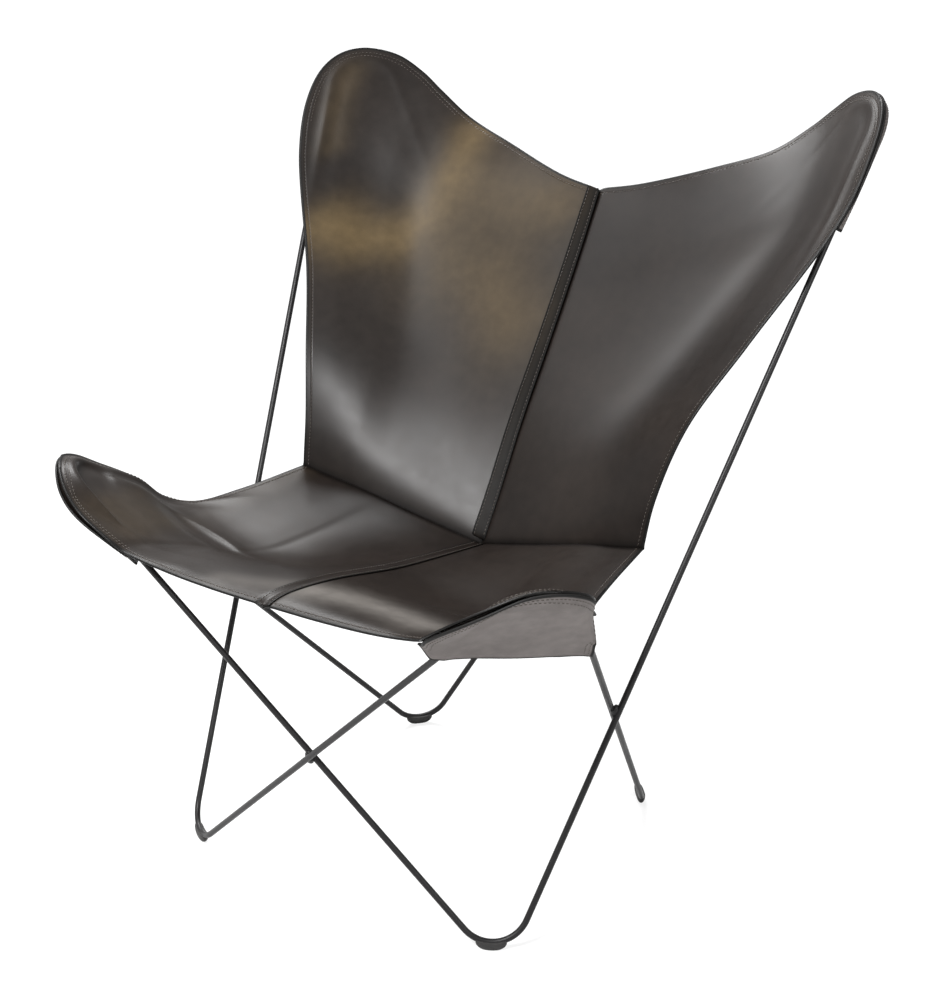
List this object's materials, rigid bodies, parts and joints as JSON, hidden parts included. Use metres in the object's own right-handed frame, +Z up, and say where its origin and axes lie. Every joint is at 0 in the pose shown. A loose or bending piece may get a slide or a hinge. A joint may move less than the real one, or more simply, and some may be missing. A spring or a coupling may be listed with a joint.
{
  "type": "butterfly sling chair",
  "caption": "Lounge chair with a leather sling whose corner pockets hang on the peaks of a crossed frame of bent steel rod.",
  "frame": {"origin": "on the floor, in the middle of the frame's four feet", "axes": "+Z up, -Y the way the sitter faces, +X to the right as seen from in front of the chair"},
  "size_m": [0.8216, 0.7472, 0.9117],
  "materials": {
    "frame_steel": "black satin powder coat on steel rod",
    "glide_rubber": "matt black rubber",
    "sling_leather": "semi-gloss dark brown leather, worn lighter where it bends",
    "pocket_leather": "the same leather, a duller grey brown on the pockets' outside"
  },
  "bodies": {
    "root": {"rod_front_peak_left": "frame_steel", "rod_front_foot_right": "frame_steel", "rod_back_peak_right": "frame_steel", "rod_back_foot_left": "frame_steel", "rod_front_peak_right": "frame_steel", "rod_front_foot_left": "frame_steel", "rod_back_peak_left": "frame_steel", "rod_back_foot_right": "frame_steel", "weld_front": "frame_steel", "weld_back": "frame_steel", "weld_left": "frame_steel", "weld_right": "frame_steel", "glide_front_foot_left": "glide_rubber", "glide_front_foot_right": "glide_rubber", "glide_back_foot_left": "glide_rubber", "glide_back_foot_right": "glide_rubber", "sling_back_right": "sling_leather", "sling_seat_right": "sling_leather", "sling_back_left": "sling_leather", "sling_seat_left": "sling_leather", "band_back_seam": "sling_leather", "band_seat_seam": "sling_leather", "pocket_back_right": "pocket_leather", "pocket_front_right": "pocket_leather", "pocket_back_left": "pocket_leather", "pocket_front_left": "pocket_leather"}
  },
  "joints": []
}
